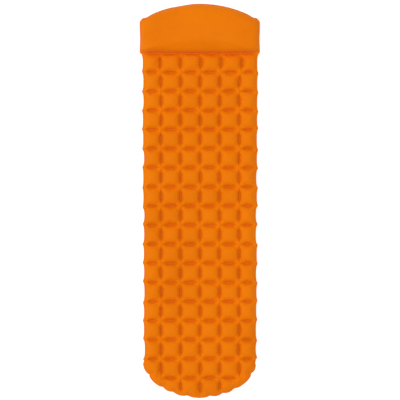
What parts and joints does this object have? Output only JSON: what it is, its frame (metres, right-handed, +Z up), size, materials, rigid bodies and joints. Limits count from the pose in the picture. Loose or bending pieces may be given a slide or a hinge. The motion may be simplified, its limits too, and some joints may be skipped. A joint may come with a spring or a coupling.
{
  "type": "inflatable sleeping pad",
  "caption": "Inflatable camping mattress with square air cells, a rounded foot, a raised pillow at the head and flat double-lid air valves under the side.",
  "frame": {"origin": "middle of the underside, on the surface that the pad lies on", "axes": "+Z up, +Y towards the pillow end, +X across the pad to the side that holds the valves"},
  "size_m": [0.581, 1.9, 0.0999],
  "materials": {
    "pad_fabric": "coated plain weave, satin",
    "valve_tpu": "moulded, satin",
    "silicone": "moulded, milky"
  },
  "bodies": {
    "root": {"mattress_top_sheet": "pad_fabric", "mattress_bottom_sheet": "pad_fabric", "pillow_top_sheet": "pad_fabric", "pillow_bottom_sheet": "pad_fabric", "mattress_valve_base": "valve_tpu", "mattress_valve_tether": "valve_tpu", "pillow_valve_base": "valve_tpu", "pillow_valve_tether": "valve_tpu"},
    "mattress_stopper": {"mattress_valve_stopper": "valve_tpu", "mattress_valve_seal": "silicone", "mattress_valve_pin": "silicone"},
    "mattress_membrane": {"mattress_valve_membrane": "silicone"},
    "mattress_cap": {"mattress_valve_cap": "valve_tpu"},
    "pillow_stopper": {"pillow_valve_stopper": "valve_tpu", "pillow_valve_seal": "silicone", "pillow_valve_pin": "silicone"},
    "pillow_membrane": {"pillow_valve_membrane": "silicone"},
    "pillow_cap": {"pillow_valve_cap": "valve_tpu"}
  },
  "joints": [
    {"name": "mattress_stopper_hinge", "type": "hinge", "parent": "root", "child": "mattress_stopper", "pos_m": [0.27262, 0.5735, 0.026], "axis": [0, -1, 0], "range_deg": [0, 120]},
    {"name": "mattress_cap_hinge", "type": "hinge", "parent": "mattress_stopper", "child": "mattress_cap", "pos_m": [0.26658, 0.55987, 0.01472], "axis": [-0.6481, -0.342, -0.6805], "range_deg": [0, 120]},
    {"name": "mattress_membrane_lift", "type": "slide", "parent": "mattress_stopper", "child": "mattress_membrane", "axis": [-0.7241, 0, 0.6897], "range_m": [0, 0.0015], "stiffness_N_per_m": 20},
    {"name": "pillow_stopper_hinge", "type": "hinge", "parent": "root", "child": "pillow_stopper", "pos_m": [0.28598, 0.80596, 0.04303], "axis": [0, -1, 0], "range_deg": [0, 120]},
    {"name": "pillow_cap_hinge", "type": "hinge", "parent": "pillow_stopper", "child": "pillow_cap", "pos_m": [0.28177, 0.79234, 0.03094], "axis": [-0.5335, -0.342, -0.7736], "range_deg": [0, 120]},
    {"name": "pillow_membrane_lift", "type": "slide", "parent": "pillow_stopper", "child": "pillow_membrane", "axis": [-0.8232, 0, 0.5677], "range_m": [0, 0.0015], "stiffness_N_per_m": 20}
  ]
}
